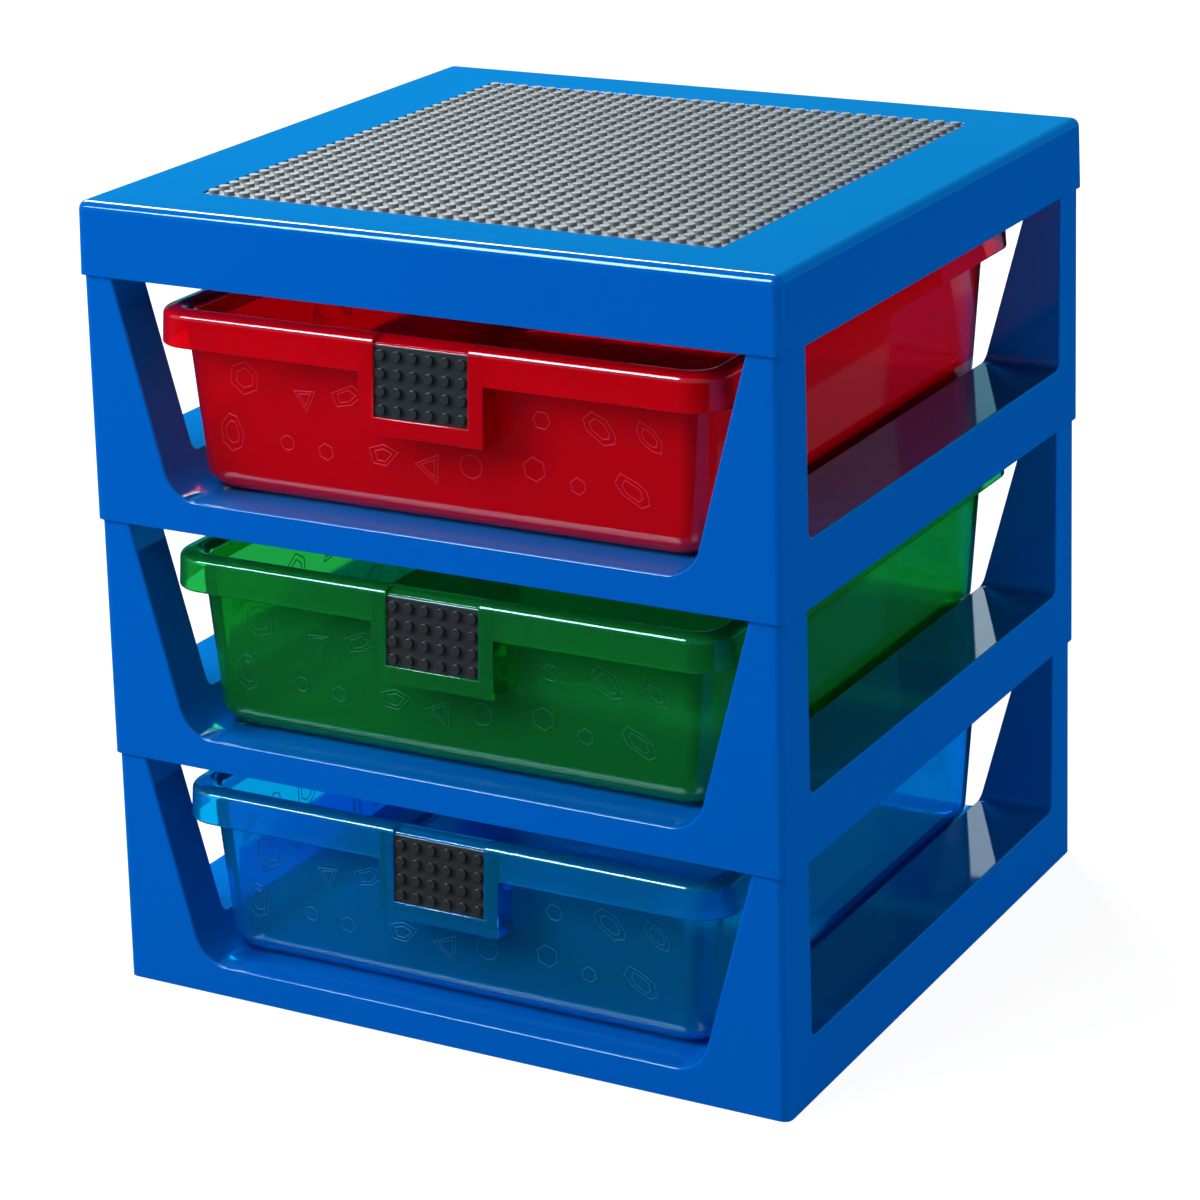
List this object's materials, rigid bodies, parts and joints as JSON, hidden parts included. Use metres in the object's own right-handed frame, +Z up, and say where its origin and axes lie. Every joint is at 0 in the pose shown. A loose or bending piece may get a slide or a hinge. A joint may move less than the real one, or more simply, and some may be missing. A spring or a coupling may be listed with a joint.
{
  "type": "three-drawer storage unit",
  "caption": "Stackable desktop storage unit with open-sided tiers, translucent pull-out drawers with a studded plate in each handle, and a lid that carries a large studded building plate.",
  "frame": {"origin": "middle of the footprint, on the surface that the unit stands on", "axes": "+X the unit's right side as seen from the front, -Y the front, where the handles are, +Z up"},
  "size_m": [0.346, 0.326, 0.3755],
  "materials": {
    "frame_blue": "glossy opaque mid blue",
    "plate_grey": "satin opaque grey",
    "handle_black": "satin opaque black",
    "drawer_red": "glossy translucent red",
    "drawer_green": "glossy translucent green",
    "drawer_blue": "glossy translucent blue"
  },
  "bodies": {
    "stack": {"lid": "frame_blue", "stud_plate": "plate_grey", "tier_lower": "frame_blue", "tier_middle": "frame_blue", "tier_upper": "frame_blue"},
    "drawer_lower": {"drawer_lower": "drawer_blue", "handle_plate_lower": "handle_black"},
    "drawer_middle": {"drawer_middle": "drawer_green", "handle_plate_middle": "handle_black"},
    "drawer_upper": {"drawer_upper": "drawer_red", "handle_plate_upper": "handle_black"}
  },
  "joints": [
    {"name": "drawer_lower_slide", "type": "slide", "parent": "stack", "child": "drawer_lower", "axis": [0, -1, 0], "range_m": [0, 0.15]},
    {"name": "drawer_middle_slide", "type": "slide", "parent": "stack", "child": "drawer_middle", "axis": [0, -1, 0], "range_m": [0, 0.15]},
    {"name": "drawer_upper_slide", "type": "slide", "parent": "stack", "child": "drawer_upper", "axis": [0, -1, 0], "range_m": [0, 0.15]}
  ]
}
